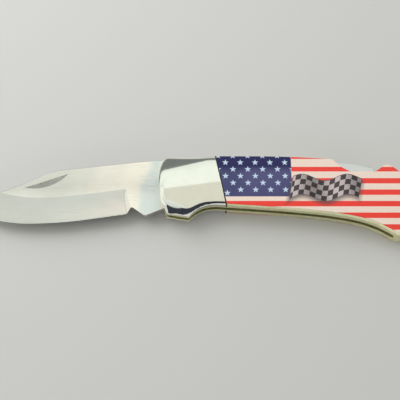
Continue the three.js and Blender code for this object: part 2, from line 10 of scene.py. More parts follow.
import bmesh
import bpy
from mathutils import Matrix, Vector

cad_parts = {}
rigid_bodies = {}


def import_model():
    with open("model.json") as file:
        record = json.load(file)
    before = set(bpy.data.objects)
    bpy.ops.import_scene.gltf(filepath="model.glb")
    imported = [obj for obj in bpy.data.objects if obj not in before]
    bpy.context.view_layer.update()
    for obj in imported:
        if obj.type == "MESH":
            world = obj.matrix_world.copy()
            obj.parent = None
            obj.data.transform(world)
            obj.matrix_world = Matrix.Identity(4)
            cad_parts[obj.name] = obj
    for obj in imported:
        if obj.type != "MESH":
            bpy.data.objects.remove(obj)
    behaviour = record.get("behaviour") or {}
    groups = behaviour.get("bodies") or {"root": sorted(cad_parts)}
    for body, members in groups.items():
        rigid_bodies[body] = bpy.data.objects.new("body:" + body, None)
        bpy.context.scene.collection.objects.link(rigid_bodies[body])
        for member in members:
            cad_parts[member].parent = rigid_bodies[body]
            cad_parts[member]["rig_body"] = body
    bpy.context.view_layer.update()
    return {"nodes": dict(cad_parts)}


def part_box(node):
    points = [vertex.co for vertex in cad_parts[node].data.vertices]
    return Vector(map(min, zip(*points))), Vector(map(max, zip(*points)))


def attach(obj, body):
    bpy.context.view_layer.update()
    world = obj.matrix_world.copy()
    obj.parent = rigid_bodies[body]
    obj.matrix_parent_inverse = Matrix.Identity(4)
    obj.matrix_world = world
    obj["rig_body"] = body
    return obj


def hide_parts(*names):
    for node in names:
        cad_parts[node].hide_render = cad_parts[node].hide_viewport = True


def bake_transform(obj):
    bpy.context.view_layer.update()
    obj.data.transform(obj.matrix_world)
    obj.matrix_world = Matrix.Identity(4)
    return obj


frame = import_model()

MM = 0.001

# Camera: distance, height in degrees, the point in the middle of the picture and the lens
VIEW_DISTANCE = 0.360
VIEW_ELEVATION = 69
VIEW_TARGET = Vector((0.01002, -0.00370, 0.0055))
VIEW_LENS_MM = 76.8
SENSOR_MM = 36.0

# Merging a node's loose triangles: the widest gap, and the angle up to which faces become one
MERGE_MM = 0.002
MERGE_ANGLE = 0.3

# Edges past a corner's angle are eased to a width, and edges past a crease's angle stay crisp
BLADE_CORNER = 60
BLADE_CREASE = 32
BLADE_EASE_MM = 0.12
BOLSTER_CORNER = 50
BOLSTER_CREASE = 40
BOLSTER_EASE_MM = 0.12
PLATE_CORNER = 40
PLATE_CREASE = 18
SCALE_EASE_MM = 0.10
SHEET_EASE_MM = 0.05
LINER_EASE_MM = 0.08
BAR_CORNER = 60
BAR_CREASE = 32
BAR_EASE_MM = 0.18
SPACER_EASE_MM = 0.05
LEAF_EASE_MM = 0.05

# Blade: the back is eased above a line, and the grind line is where a flat face bends by more than an angle
BACK_ABOVE_MM = -2.0
GRIND_ANGLE = 3

# A face is flat where the upright part of its normal is more than this
FLAT = 0.999
QUITE_FLAT = 0.99999

# Box round the nail nick, which is left as milled, and the least depth of its faces
NICK_BOX_MM = ((-64.5, 0.9), (-45.5, 8.0))
NICK_DEPTH_MM = 0.01

# Faces of the bolster's rim: how deep they may lie and how far they face outwards at least
RIM_DEPTH_MM = 2.6
RIM_FACING = 0.35

# Walls round the outer face are told apart by how far they face the front, or the back and belly
FRONT_FACING = 0.8
SIDE_FACING = 0.4

# Outer face of the bolsters: pitch of its grid, crown across it and the twist in it
BOLSTER_GRID_MM = 0.7
LEVEL_MM = 0.001
SLIVER_MM = 0.15
CROWN_MIDDLE_MM = 3.0
CROWN_HALF_MM = 14.0
CROWN_DROP_MM = 0.35
CROWN_LEVEL_MM = 0.06
TWIST_SLOPE = 0.0085
TWIST_FADE = 0.00068

# Round-over of the bolsters: width and drop near the joint, then at the front
RIM_LENGTH_MM = 21.0
BACK_RIM_MM = ((1.2, 0.75), (7.6, 1.55))
BELLY_RIM_MM = ((1.5, 0.9), (6.5, 2.3))
FRONT_RIM_MM = ((0.8, 0.25), (0.8, 0.25))

# Softness of the lines that the round-over follows: samples in one softness, and on each side
LINE_SOFTNESS_MM = {"front": 1.5, "back": 1.5, "belly": 2.2}
SOFTNESS_SAMPLES = 3
SIDE_SAMPLES = 6

# Stripes of the handle's printed sheet, in the knife's own millimetres
STRIPE_PITCH_MM = 5.12
STRIPE_RED_MM = 2.4
STRIPE_FIRST_MM = 7.94
UPPER_ROWS_MM = (5.0, 6.0)
UPPER_SHIFT_MM = 0.15
STRETCHED_FROM_MM = 9.6
STRETCH = 0.2
PRINT_BLUR_MM = 0.05

# Canton and its stars
CANTON_END_MM = 48.4
CANTON_FOOT_MM = -4.21
# Heights in Y over which a painted sheen comes in on the navy, going down from the back
NAVY_SHEEN_MM = (9.6, 6.6)
STAR_POINTS = 5
STAR_RADIUS_MM = 1.45
STAR_WAIST = 0.42
STAR_BLUR_MM = (0.03, -0.05)
STAR_COLUMN_MM = 6.25
STAR_ROW_MM = 3.08
STAR_AT_MM = (20.75, 11.14)
LOWEST_STAR_ROW = -4
STRAY_STAR_MM = (21.43, -2.65)

# Chequered ribbon printed over the stripes
RIBBON_START_MM = 48.0
RIBBON_END_MM = 77.0
RIBBON_MIDDLE_MM = -0.2
RIBBON_HALF_MM = 4.7
RIBBON_WAVE_MM = 1.5
RIBBON_WAVE_LENGTH_MM = 19.0
RIBBON_SLANT = -0.22
RIBBON_CHECK_MM = 2.35
RIBBON_BLUR_MM = 0.06
RIBBON_HEM_MM = (-0.35, -0.22)
RIBBON_LIGHT = (0.42, 1.0)
SHADOW_DROP_MM = 1.3
SHADOW_LONGER_MM = 0.4
SHADOW_BLUR_MM = (1.3, -0.8)
SHADOW_STRENGTH = 0.75

# Inks of the print, and the lighter navies that are a painted sheen below the canton's back
CREAM_INK = ((0.815, 0.66, 0.565, 1), (0.875, 0.715, 0.63, 1))
SCARLET_INK = ((0.80, 0.042, 0.03, 1), (0.87, 0.062, 0.047, 1))
NAVY_AT_BACK = (0.010, 0.009, 0.085, 1)
# The next two navies are a painted sheen, not ink: lighter navy below the back, and still lighter patches in
# it
NAVY_PAINTED_SHEEN = (0.043, 0.052, 0.14, 1)
NAVY_PATCHY_SHEEN = (0.076, 0.072, 0.19, 1)
STAR_INK = (0.53, 0.65, 0.82, 1)
CHECK_INKS = ((0.065, 0.050, 0.055, 1), (0.58, 0.50, 0.51, 1))
HEM_INK = (0.16, 0.13, 0.14, 1)
SHADOW_INK = (0.07, 0.055, 0.06, 1)

# Tones of the metals and the fibre, where a pair goes from the darker to the lighter parts
BLADE_TONES = ((0.665, 0.655, 0.595, 1), (0.725, 0.715, 0.655, 1))
SCRATCH_TONE = (0.5, 0.5, 0.48, 1)
NICK_TONES = ((0.86, 0.87, 0.80, 1), (0.95, 0.96, 0.89, 1))
POLISHED_TONE = (0.79, 0.80, 0.73, 1)
SMEARED_TONE = (0.74, 0.75, 0.67, 1)
SPRING_TONES = ((0.74, 0.76, 0.77, 1), (0.84, 0.86, 0.88, 1))
BRASS_TONES = ((0.90, 0.89, 0.56, 1), (0.98, 0.97, 0.68, 1))
TARNISH_TONE = (0.72, 0.71, 0.43, 1)
FIBRE_TONES = ((0.012, 0.013, 0.011, 1), (0.03, 0.032, 0.027, 1))

# Grain of each finish along X, Y and Z, in blots per metre, and the turn of the nick's in radians
BLADE_GRAIN = (3200, 70, 400)
NICK_GRAIN = (300, 3000, 3000)
NICK_GRAIN_TURN = 0.33
SPRING_GRAIN = (90, 2600, 2600)
BRASS_GRAIN = (160, 160, 3600)
FIBRE_GRAIN = (900, 900, 2500)

# A noise is mostly between these two values
NOISE_RANGE = (0.3, 0.7)

# Hairline scratches: their directions in radians, their fineness along Z and their share in the blade's tone
HAIRLINE_TURNS = (0.35, -0.8, 1.25)
HAIRLINE_DEPTH = 60.0
SCRATCH_SHARE = 0.25

# Values of a noise between which a scratch, a smear, the tarnish or a patch of the navy's painted sheen
# comes in
HAIRLINE_EDGES = (0.68, 0.78)
SMEAR_EDGES = (0.35, 0.75)
TARNISH_EDGES = (0.42, 0.72)
SHEEN_PATCH_EDGES = (0.35, 0.7)

# Roughness of each finish, and what its grain, smears, scratches or tarnish add
MIRROR_ROUGHNESS = 0.02
BLADE_SMEARS_ADD = 0.03
BLADE_GRAIN_ADDS = 0.02
POLISHED_SMEARS_ADD = 0.04
POLISHED_SCRATCHES_ADD = 0.08
NICK_ROUGHNESS = (0.36, 0.46)
SPRING_ROUGHNESS = (0.26, 0.4)
BRASS_ROUGHNESS = 0.24
BRASS_TARNISH_ADDS = 0.18
BRASS_GRAIN_ADDS = 0.08
FIBRE_ROUGHNESS = 0.65
PRINT_ROUGHNESS = 0.5

# Varnish over the print
VARNISH_WEIGHT = 0.6
VARNISH_ROUGHNESS = 0.07


def nothing_selected():
    if bpy.context.object and bpy.context.object.mode != "OBJECT":
        bpy.ops.object.mode_set(mode="OBJECT")
    bpy.ops.object.select_all(action="DESELECT")


def only(piece):
    nothing_selected()
    piece.select_set(True)
    bpy.context.view_layer.objects.active = piece


# Shader nodes


def new_material(name):
    material = bpy.data.materials.new(name)
    material.use_nodes = True
    tree = material.node_tree
    return material, tree, tree.nodes["Principled BSDF"]


def give(tree, socket, value):
    """Put a constant on a socket, or link it to another node's output."""
    if isinstance(value, (int, float, tuple)):
        socket.default_value = value
    else:
        tree.links.new(value, socket)


def math_node(tree, operation, *values):
    node = tree.nodes.new("ShaderNodeMath")
    node.operation = operation
    for socket, value in zip(node.inputs, values):
        give(tree, socket, value)
    return node.outputs[0]


def split_vector(tree, vector):
    node = tree.nodes.new("ShaderNodeSeparateXYZ")
    tree.links.new(vector, node.inputs[0])
    return node.outputs


def noise_node(tree, vector, scale, detail=3.0, roughness=0.5):
    node = tree.nodes.new("ShaderNodeTexNoise")
    node.inputs["Scale"].default_value = scale
    node.inputs["Detail"].default_value = detail
    node.inputs["Roughness"].default_value = roughness
    tree.links.new(vector, node.inputs["Vector"])
    return node.outputs["Fac"]


def grain(tree, vector, fineness, turn=0.0, detail=3.0):
    """Noise that is drawn out along one direction, turned by so many radians round Z."""
    node = tree.nodes.new("ShaderNodeMapping")
    node.inputs["Rotation"].default_value = (0, 0, turn)
    give(tree, node.inputs["Scale"], fineness)
    tree.links.new(vector, node.inputs["Vector"])
    return noise_node(tree, node.outputs["Vector"], 1.0, detail)


def ramp(tree, value, low, high, out_low=0.0, out_high=1.0):
    node = tree.nodes.new("ShaderNodeMapRange")
    node.clamp = True
    for name, number in zip(
        ("From Min", "From Max", "To Min", "To Max"), (low, high, out_low, out_high)
    ):
        node.inputs[name].default_value = number
    tree.links.new(value, node.inputs["Value"])
    return node.outputs["Result"]


def mixed(tree, share, first, second):
    node = tree.nodes.new("ShaderNodeMix")
    node.data_type = "RGBA"
    wanted = {"Factor_Float": share, "A_Color": first, "B_Color": second}
    for socket in node.inputs:
        if socket.identifier in wanted:
            give(tree, socket, wanted[socket.identifier])
    return next(socket for socket in node.outputs if socket.identifier == "Result_Color")


def varied(tree, noise, tones):
    """A color that goes from one tone to another with a noise."""
    return mixed(tree, ramp(tree, noise, *NOISE_RANGE), *tones)


def scaled(tree, color, gain):
    node = tree.nodes.new("ShaderNodeVectorMath")
    node.operation = "SCALE"
    tree.links.new(color, node.inputs[0])
    tree.links.new(gain, node.inputs["Scale"])
    return node.outputs[0]


def raised(tree, roughness, causes):
    """A roughness that rises with each pattern by an amount."""
    for pattern, amount in causes:
        roughness = math_node(tree, "MULTIPLY_ADD", pattern, amount, roughness)
    return roughness


def bump(tree, height, strength, depth_mm, normal=None):
    node = tree.nodes.new("ShaderNodeBump")
    node.inputs["Strength"].default_value = strength
    node.inputs["Distance"].default_value = depth_mm * MM
    tree.links.new(height, node.inputs["Height"])
    if normal is not None:
        tree.links.new(normal, node.inputs["Normal"])
    return node.outputs["Normal"]


def new_group(name, inputs, outputs):
    group = bpy.data.node_groups.new(name, "ShaderNodeTree")
    for label, kind, default in inputs:
        socket = group.interface.new_socket(label, in_out="INPUT", socket_type=kind)
        if default is not None:
            socket.default_value = default
    for label, kind in outputs:
        group.interface.new_socket(label, in_out="OUTPUT", socket_type=kind)
    start = group.nodes.new("NodeGroupInput")
    end = group.nodes.new("NodeGroupOutput")
    return group, start.outputs, end.inputs


def placed(tree, group, **values):
    node = tree.nodes.new("ShaderNodeGroup")
    node.node_tree = group
    for label, value in values.items():
        give(tree, node.inputs[label], value)
    return node.outputs


def object_coordinates(tree):
    return tree.nodes.new("ShaderNodeTexCoord").outputs["Object"]


# Materials


def scratches_group():
    """Hairline scratches in three slanted families, and the soft smears of handling."""
    group, given, result = new_group(
        "hairlines",
        [
            ("Vector", "NodeSocketVector", None),
            ("Along", "NodeSocketFloat", 60.0),
            ("Across", "NodeSocketFloat", 2600.0),
        ],
        [("Lines", "NodeSocketFloat"), ("Smears", "NodeSocketFloat")],
    )
    fineness = group.nodes.new("ShaderNodeCombineXYZ")
    group.links.new(given["Along"], fineness.inputs["X"])
    group.links.new(given["Across"], fineness.inputs["Y"])
    fineness.inputs["Z"].default_value = HAIRLINE_DEPTH
    families = []
    for turn in HAIRLINE_TURNS:
        noise = grain(group, given["Vector"], fineness.outputs[0], turn, detail=1.0)
        families.append(ramp(group, noise, *HAIRLINE_EDGES))
    both = math_node(group, "MAXIMUM", families[0], families[1])
    group.links.new(math_node(group, "MAXIMUM", both, families[2]), result["Lines"])
    blots = noise_node(group, given["Vector"], scale=130.0, detail=4.0, roughness=0.6)
    group.links.new(ramp(group, blots, *SMEAR_EDGES), result["Smears"])
    return group


HAIRLINES = scratches_group()


def blade_steel():
    material, tree, shader = new_material("satin_blade_steel")
    where = object_coordinates(tree)
    brushed = grain(tree, where, BLADE_GRAIN)
    wear = placed(tree, HAIRLINES, Vector=where, Along=90.0, Across=2400.0)
    base = varied(tree, noise_node(tree, where, scale=45.0, roughness=0.55), BLADE_TONES)
    scratched = math_node(tree, "MULTIPLY", wear["Lines"], SCRATCH_SHARE)
    give(tree, shader.inputs["Base Color"], mixed(tree, scratched, base, SCRATCH_TONE))
    give(tree, shader.inputs["Metallic"], 1.0)
    causes = ((wear["Smears"], BLADE_SMEARS_ADD), (brushed, BLADE_GRAIN_ADDS))
    give(tree, shader.inputs["Roughness"], raised(tree, MIRROR_ROUGHNESS, causes))
    relief = bump(tree, brushed, strength=0.02, depth_mm=0.02)
    relief = bump(tree, wear["Lines"], strength=0.1, depth_mm=0.02, normal=relief)
    give(tree, shader.inputs["Normal"], relief)
    return material


def grained_steel(name, fineness, tones, roughness, strength, turn=0.0):
    """Steel whose grain changes its tone and its roughness."""
    material, tree, shader = new_material(name)
    lines = grain(tree, object_coordinates(tree), fineness, turn)
    give(tree, shader.inputs["Base Color"], varied(tree, lines, tones))
    give(tree, shader.inputs["Metallic"], 1.0)
    give(tree, shader.inputs["Roughness"], ramp(tree, lines, *NOISE_RANGE, *roughness))
    give(tree, shader.inputs["Normal"], bump(tree, lines, strength, depth_mm=0.02))
    return material


def milled_steel():
    return grained_steel(
        "milled_nick_steel", NICK_GRAIN, NICK_TONES, NICK_ROUGHNESS, strength=0.15, turn=NICK_GRAIN_TURN
    )


def spring_steel():
    return grained_steel("spring_steel", SPRING_GRAIN, SPRING_TONES, SPRING_ROUGHNESS, strength=0.2)


def polished_steel():
    material, tree, shader = new_material("mirror_polished_steel")
    where = object_coordinates(tree)
    wear = placed(tree, HAIRLINES, Vector=where, Along=120.0, Across=3000.0)
    ripple = noise_node(tree, where, scale=90.0, detail=2.0)
    give(tree, shader.inputs["Base Color"], mixed(tree, wear["Smears"], POLISHED_TONE, SMEARED_TONE))
    give(tree, shader.inputs["Metallic"], 1.0)
    causes = ((wear["Smears"], POLISHED_SMEARS_ADD), (wear["Lines"], POLISHED_SCRATCHES_ADD))
    give(tree, shader.inputs["Roughness"], raised(tree, MIRROR_ROUGHNESS, causes))
    relief = bump(tree, ripple, strength=0.03, depth_mm=0.2)
    relief = bump(tree, wear["Lines"], strength=0.02, depth_mm=0.02, normal=relief)
    give(tree, shader.inputs["Normal"], relief)
    return material


def pale_brass():
    material, tree, shader = new_material("pale_brass")
    where = object_coordinates(tree)
    filed = grain(tree, where, BRASS_GRAIN)
    blots = noise_node(tree, where, scale=160.0, detail=5.0, roughness=0.65)
    tarnish = ramp(tree, blots, *TARNISH_EDGES)
    fresh = varied(tree, filed, BRASS_TONES)
    give(tree, shader.inputs["Base Color"], mixed(tree, tarnish, fresh, TARNISH_TONE))
    give(tree, shader.inputs["Metallic"], 1.0)
    causes = ((tarnish, BRASS_TARNISH_ADDS), (filed, BRASS_GRAIN_ADDS))
    give(tree, shader.inputs["Roughness"], raised(tree, BRASS_ROUGHNESS, causes))
    give(tree, shader.inputs["Normal"], bump(tree, filed, strength=0.2, depth_mm=0.03))
    return material


def black_fibre():
    material, tree, shader = new_material("black_fibre")
    flecks = grain(tree, object_coordinates(tree), FIBRE_GRAIN, detail=4.0)
    give(tree, shader.inputs["Base Color"], mixed(tree, flecks, *FIBRE_TONES))
    give(tree, shader.inputs["Roughness"], FIBRE_ROUGHNESS)
    give(tree, shader.inputs["Normal"], bump(tree, flecks, strength=0.3, depth_mm=0.05))
    return material


def star_group():
    """1 inside an upright star round the middle of X and Y, 0 outside. X and Y are millimetres."""
    group, given, result = new_group(
        "star",
        [("X", "NodeSocketFloat", 0.0), ("Y", "NodeSocketFloat", 0.0)],
        [("Inside", "NodeSocketFloat")],
    )
    sector = 2 * math.pi / STAR_POINTS
    angle = math_node(group, "ARCTAN2", given["X"], given["Y"])
    folded = math_node(group, "FLOORED_MODULO", math_node(group, "ADD", angle, sector / 2), sector)
    folded = math_node(group, "ABSOLUTE", math_node(group, "SUBTRACT", folded, sector / 2))
    across = math_node(group, "MULTIPLY", given["X"], given["X"])
    squares = math_node(group, "MULTIPLY_ADD", given["Y"], given["Y"], across)
    reach = math_node(group, "SQRT", squares)
    side = Vector((STAR_WAIST * math.sin(sector / 2), 1 - STAR_WAIST * math.cos(sector / 2)))
    side.normalize()
    slope = math_node(group, "MULTIPLY", math_node(group, "COSINE", folded), side.x)
    slope = math_node(group, "MULTIPLY_ADD", math_node(group, "SINE", folded), side.y, slope)
    distance = math_node(group, "MULTIPLY", reach, slope)
    outside, inside = (STAR_RADIUS_MM * side.x + blur for blur in STAR_BLUR_MM)
    group.links.new(ramp(group, distance, outside, inside), result["Inside"])
    return group


def star_field_group(star):
    """1 inside a staggered field of stars and one stray star, 0 outside. X and Y are millimetres."""
    group, given, result = new_group(
        "star_field",
        [("X", "NodeSocketFloat", 0.0), ("Y", "NodeSocketFloat", 0.0)],
        [("Stars", "NodeSocketFloat")],
    )
    row_place = math_node(group, "SUBTRACT", given["Y"], STAR_AT_MM[1])
    row_place = math_node(group, "DIVIDE", row_place, STAR_ROW_MM)
    row = math_node(group, "ROUND", row_place)
    above = math_node(group, "MULTIPLY", math_node(group, "SUBTRACT", row_place, row), STAR_ROW_MM)
    odd = math_node(group, "FLOORED_MODULO", row, 2.0)
    column_place = math_node(group, "SUBTRACT", given["X"], STAR_AT_MM[0])
    column_place = math_node(group, "DIVIDE", column_place, STAR_COLUMN_MM)
    column_place = math_node(group, "MULTIPLY_ADD", odd, -0.5, column_place)
    column = math_node(group, "ROUND", column_place)
    aside = math_node(group, "SUBTRACT", column_place, column)
    aside = math_node(group, "MULTIPLY", aside, STAR_COLUMN_MM)
    printed_row = math_node(group, "GREATER_THAN", row, LOWEST_STAR_ROW - 0.5)
    last_row = math_node(group, "LESS_THAN", row, LOWEST_STAR_ROW + 0.5)
    first_column = math_node(group, "LESS_THAN", column, 0.5)
    strayed = math_node(group, "MULTIPLY", last_row, first_column)
    kept = math_node(group, "MULTIPLY", printed_row, math_node(group, "SUBTRACT", 1.0, strayed))
    lattice = placed(group, star, X=aside, Y=above)["Inside"]
    lattice = math_node(group, "MULTIPLY", lattice, kept)
    stray_x = math_node(group, "SUBTRACT", given["X"], STRAY_STAR_MM[0])
    stray_y = math_node(group, "SUBTRACT", given["Y"], STRAY_STAR_MM[1])
    stray = placed(group, star, X=stray_x, Y=stray_y)["Inside"]
    group.links.new(math_node(group, "MAXIMUM", lattice, stray), result["Stars"])
    return group


def box_distance(group, across, along, half_across, half_along):
    """How far a place lies outside a box, or, as a negative number, inside it."""
    beyond_across = math_node(group, "SUBTRACT", math_node(group, "ABSOLUTE", across), half_across)
    beyond_along = math_node(group, "SUBTRACT", math_node(group, "ABSOLUTE", along), half_along)
    return math_node(group, "MAXIMUM", beyond_across, beyond_along)


def ribbon_group():
    """A waving chequered ribbon: its cover, its color and its soft shadow. X and Y are millimetres."""
    group, given, result = new_group(
        "chequered_ribbon",
        [("X", "NodeSocketFloat", 0.0), ("Y", "NodeSocketFloat", 0.0)],
        [
            ("Cover", "NodeSocketFloat"),
            ("Color", "NodeSocketColor"),
            ("Shadow", "NodeSocketFloat"),
        ],
    )
    phase = math_node(group, "SUBTRACT", given["X"], RIBBON_START_MM)
    phase = math_node(group, "MULTIPLY", phase, 2 * math.pi / RIBBON_WAVE_LENGTH_MM)
    wave = math_node(group, "SINE", phase)
    middle = math_node(group, "MULTIPLY_ADD", wave, RIBBON_WAVE_MM, RIBBON_MIDDLE_MM)
    aside = math_node(group, "SUBTRACT", given["Y"], middle)
    along = math_node(group, "MULTIPLY_ADD", aside, RIBBON_SLANT, given["X"])
    half_length = (RIBBON_END_MM - RIBBON_START_MM) / 2
    from_middle = math_node(group, "SUBTRACT", along, (RIBBON_START_MM + RIBBON_END_MM) / 2)
    distance = box_distance(group, aside, from_middle, RIBBON_HALF_MM, half_length)
    group.links.new(ramp(group, distance, RIBBON_BLUR_MM, -RIBBON_BLUR_MM), result["Cover"])

    column = math_node(group, "FLOOR", math_node(group, "DIVIDE", along, RIBBON_CHECK_MM))
    row = math_node(group, "FLOOR", math_node(group, "DIVIDE", aside, RIBBON_CHECK_MM))
    parity = math_node(group, "FLOORED_MODULO", math_node(group, "ADD", column, row), 2.0)
    checks = mixed(group, parity, *CHECK_INKS)
    hemmed = mixed(group, ramp(group, distance, *RIBBON_HEM_MM), checks, HEM_INK)
    light = ramp(group, math_node(group, "COSINE", phase), -1.0, 1.0, *RIBBON_LIGHT)
    group.links.new(scaled(group, hemmed, light), result["Color"])

    low = math_node(group, "ADD", aside, SHADOW_DROP_MM)
    shadow = box_distance(group, low, from_middle, RIBBON_HALF_MM, half_length + SHADOW_LONGER_MM)
    group.links.new(ramp(group, shadow, *SHADOW_BLUR_MM, 0.0, SHADOW_STRENGTH), result["Shadow"])
    return group


def striped_field(tree, x_mm, y_mm, mottle):
    """Red and cream stripes. The upper red ones are thinner, and all are drawn out near the back."""
    above = math_node(tree, "MAXIMUM", math_node(tree, "SUBTRACT", y_mm, STRETCHED_FROM_MM), 0.0)
    upper = ramp(tree, y_mm, *UPPER_ROWS_MM)
    stripe = math_node(tree, "MULTIPLY_ADD", above, -STRETCH, y_mm)
    stripe = math_node(tree, "MULTIPLY_ADD", upper, -UPPER_SHIFT_MM, stripe)
    stripe = math_node(tree, "SUBTRACT", stripe, STRIPE_FIRST_MM)
    stripe = math_node(tree, "DIVIDE", stripe, STRIPE_PITCH_MM)
    stripe = math_node(tree, "SUBTRACT", stripe, math_node(tree, "ROUND", stripe))
    stripe = math_node(tree, "MULTIPLY", math_node(tree, "ABSOLUTE", stripe), STRIPE_PITCH_MM)
    stripe = math_node(tree, "MULTIPLY_ADD", upper, UPPER_SHIFT_MM, stripe)
    red_half = STRIPE_RED_MM / 2
    red = ramp(tree, stripe, red_half + PRINT_BLUR_MM, red_half - PRINT_BLUR_MM)
    return mixed(tree, red, mixed(tree, mottle, *CREAM_INK), mixed(tree, mottle, *SCARLET_INK))


def starry_canton(tree, where, x_mm, y_mm):
    """Navy with its stars. Below the back a painted sheen lightens the navy, with patches of a stronger
    painted sheen.
    """
    # Painted sheen: lighter navy below the back, with lighter patches laid in it at random
    sheen_patches = ramp(tree, noise_node(tree, where, scale=55.0), *SHEEN_PATCH_EDGES)
    painted_sheen = ramp(tree, y_mm, *NAVY_SHEEN_MM)
    patchy_sheen = math_node(tree, "MULTIPLY", sheen_patches, painted_sheen)
    navy_with_sheen = mixed(tree, painted_sheen, NAVY_AT_BACK, NAVY_PAINTED_SHEEN)
    navy = mixed(tree, patchy_sheen, navy_with_sheen, NAVY_PATCHY_SHEEN)
    stars = placed(tree, star_field_group(star_group()), X=x_mm, Y=y_mm)
    return mixed(tree, stars["Stars"], navy, STAR_INK)


def printed_panel():
    material, tree, shader = new_material("stars_and_stripes_print")
    where = object_coordinates(tree)
    place = split_vector(tree, where)
    x_mm = math_node(tree, "MULTIPLY", place["X"], 1 / MM)
    y_mm = math_node(tree, "MULTIPLY", place["Y"], 1 / MM)
    mottle = noise_node(tree, where, scale=900.0)
    field = striped_field(tree, x_mm, y_mm, mottle)
    before_end = ramp(tree, x_mm, CANTON_END_MM + PRINT_BLUR_MM, CANTON_END_MM - PRINT_BLUR_MM)
    above_foot = ramp(tree, y_mm, CANTON_FOOT_MM - PRINT_BLUR_MM, CANTON_FOOT_MM + PRINT_BLUR_MM)
    canton = math_node(tree, "MULTIPLY", before_end, above_foot)
    flag = mixed(tree, canton, field, starry_canton(tree, where, x_mm, y_mm))
    ribbon = placed(tree, ribbon_group(), X=x_mm, Y=y_mm)
    shaded = mixed(tree, ribbon["Shadow"], flag, SHADOW_INK)
    give(tree, shader.inputs["Base Color"], mixed(tree, ribbon["Cover"], shaded, ribbon["Color"]))
    give(tree, shader.inputs["Roughness"], PRINT_ROUGHNESS)
    give(tree, shader.inputs["Specular IOR Level"], 0.0)
    give(tree, shader.inputs["Coat Weight"], VARNISH_WEIGHT)
    give(tree, shader.inputs["Coat Roughness"], VARNISH_ROUGHNESS)
    wear = placed(tree, HAIRLINES, Vector=where, Along=110.0, Across=2600.0)
    ripple = noise_node(tree, where, scale=70.0, detail=2.0)
    relief = bump(tree, ripple, strength=0.05, depth_mm=0.3)
    relief = bump(tree, wear["Lines"], strength=0.12, depth_mm=0.02, normal=relief)
    give(tree, shader.inputs["Normal"], relief)
    return material


BLADE_STEEL = blade_steel()
MILLED_STEEL = milled_steel()
POLISHED_STEEL = polished_steel()
SPRING_STEEL = spring_steel()
PALE_BRASS = pale_brass()
BLACK_FIBRE = black_fibre()
PRINTED_PANEL = printed_panel()


# Pieces


def copy_of(node, name, rides=True):
    """A merged copy of a node's mesh. It stands for the node and, unless it bends, rides on its body."""
    source = frame["nodes"][node]
    piece = bpy.data.objects.new(name, source.data.copy())
    bpy.context.scene.collection.objects.link(piece)
    only(piece)
    bpy.ops.object.mode_set(mode="EDIT")
    bpy.ops.mesh.select_all(action="SELECT")
    bpy.ops.mesh.remove_doubles(threshold=MERGE_MM * MM)
    bpy.ops.mesh.dissolve_limited(angle_limit=math.radians(MERGE_ANGLE))
    bpy.ops.object.mode_set(mode="OBJECT")
    bpy.ops.mesh.customdata_custom_splitnormals_clear()
    if rides:
        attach(piece, source["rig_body"])
    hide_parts(node)
    return piece


def select_edges(piece, chosen):
    """Select the edges that a rule picks by their middle and the normals of their two faces."""
    only(piece)
    bpy.ops.object.mode_set(mode="EDIT")
    bpy.ops.mesh.select_mode(type="EDGE")
    bpy.ops.mesh.select_all(action="DESELECT")
    mesh = bmesh.from_edit_mesh(piece.data)
    for edge in mesh.edges:
        if len(edge.link_faces) != 2:
            continue
        middle = (edge.verts[0].co + edge.verts[1].co) / 2
        edge.select = chosen(middle, *(face.normal for face in edge.link_faces))
    bmesh.update_edit_mesh(piece.data)


def select_faces(piece, chosen):
    """Select the faces that a rule picks, on a piece that is in edit mode."""
    bpy.ops.mesh.select_all(action="DESELECT")
    mesh = bmesh.from_edit_mesh(piece.data)
    for face in mesh.faces:
        face.select = chosen(face)
    bmesh.update_edit_mesh(piece.data)


def ease_edges(piece, width_mm, chosen, segments):
    select_edges(piece, chosen)
    bpy.ops.mesh.bevel(offset=width_mm * MM, segments=segments, affect="EDGES")
    bpy.ops.object.mode_set(mode="OBJECT")


def bent_more_than(angle, first, second):
    return first.angle(second, 0) > math.radians(angle)


def sharper_than(angle):
    return lambda middle, first, second: bent_more_than(angle, first, second)


def polish(piece, material, crease, crisp=None):
    """Smooth shading with flat faces kept flat, and the material. Crisp picks more edges to keep sharp."""
    piece.data.materials.clear()
    piece.data.materials.append(material)
    only(piece)
    bpy.ops.object.shade_smooth_by_angle(angle=math.radians(crease), keep_sharp_edges=False)
    if crisp:
        select_edges(piece, crisp)
        bpy.ops.mesh.mark_sharp()
        bpy.ops.object.mode_set(mode="OBJECT")
    weighted = piece.modifiers.new("even_shading", "WEIGHTED_NORMAL")
    weighted.keep_sharp = True
    bpy.ops.object.modifier_apply(modifier=weighted.name)


def blade():
    piece = copy_of("blade", "clip_point_blade")

    def back_edge(middle, first, second):
        beside_flat = abs(first.z) > FLAT or abs(second.z) > FLAT
        return beside_flat and bent_more_than(BLADE_CORNER, first, second) and middle.y > BACK_ABOVE_MM * MM

    def grind_line(middle, first, second):
        beside_flat = (abs(first.z) > QUITE_FLAT) != (abs(second.z) > QUITE_FLAT)
        return beside_flat and bent_more_than(GRIND_ANGLE, first, second)

    ease_edges(piece, BLADE_EASE_MM, back_edge, segments=2)
    polish(piece, BLADE_STEEL, BLADE_CREASE, grind_line)
    mill_nick(piece)


def mill_nick(piece):
    """The faces of the nail nick keep the cutter's marks."""
    piece.data.materials.append(MILLED_STEEL)
    flat = max(vertex.co.z for vertex in piece.data.vertices)
    middle = (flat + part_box("blade")[0][2]) / 2
    (left, low), (right, high) = NICK_BOX_MM
    for face in piece.data.polygons:
        x, y, z = face.center
        inside = left < x / MM < right and low < y / MM < high
        if inside and middle < z < flat - NICK_DEPTH_MM * MM:
            face.material_index = 1


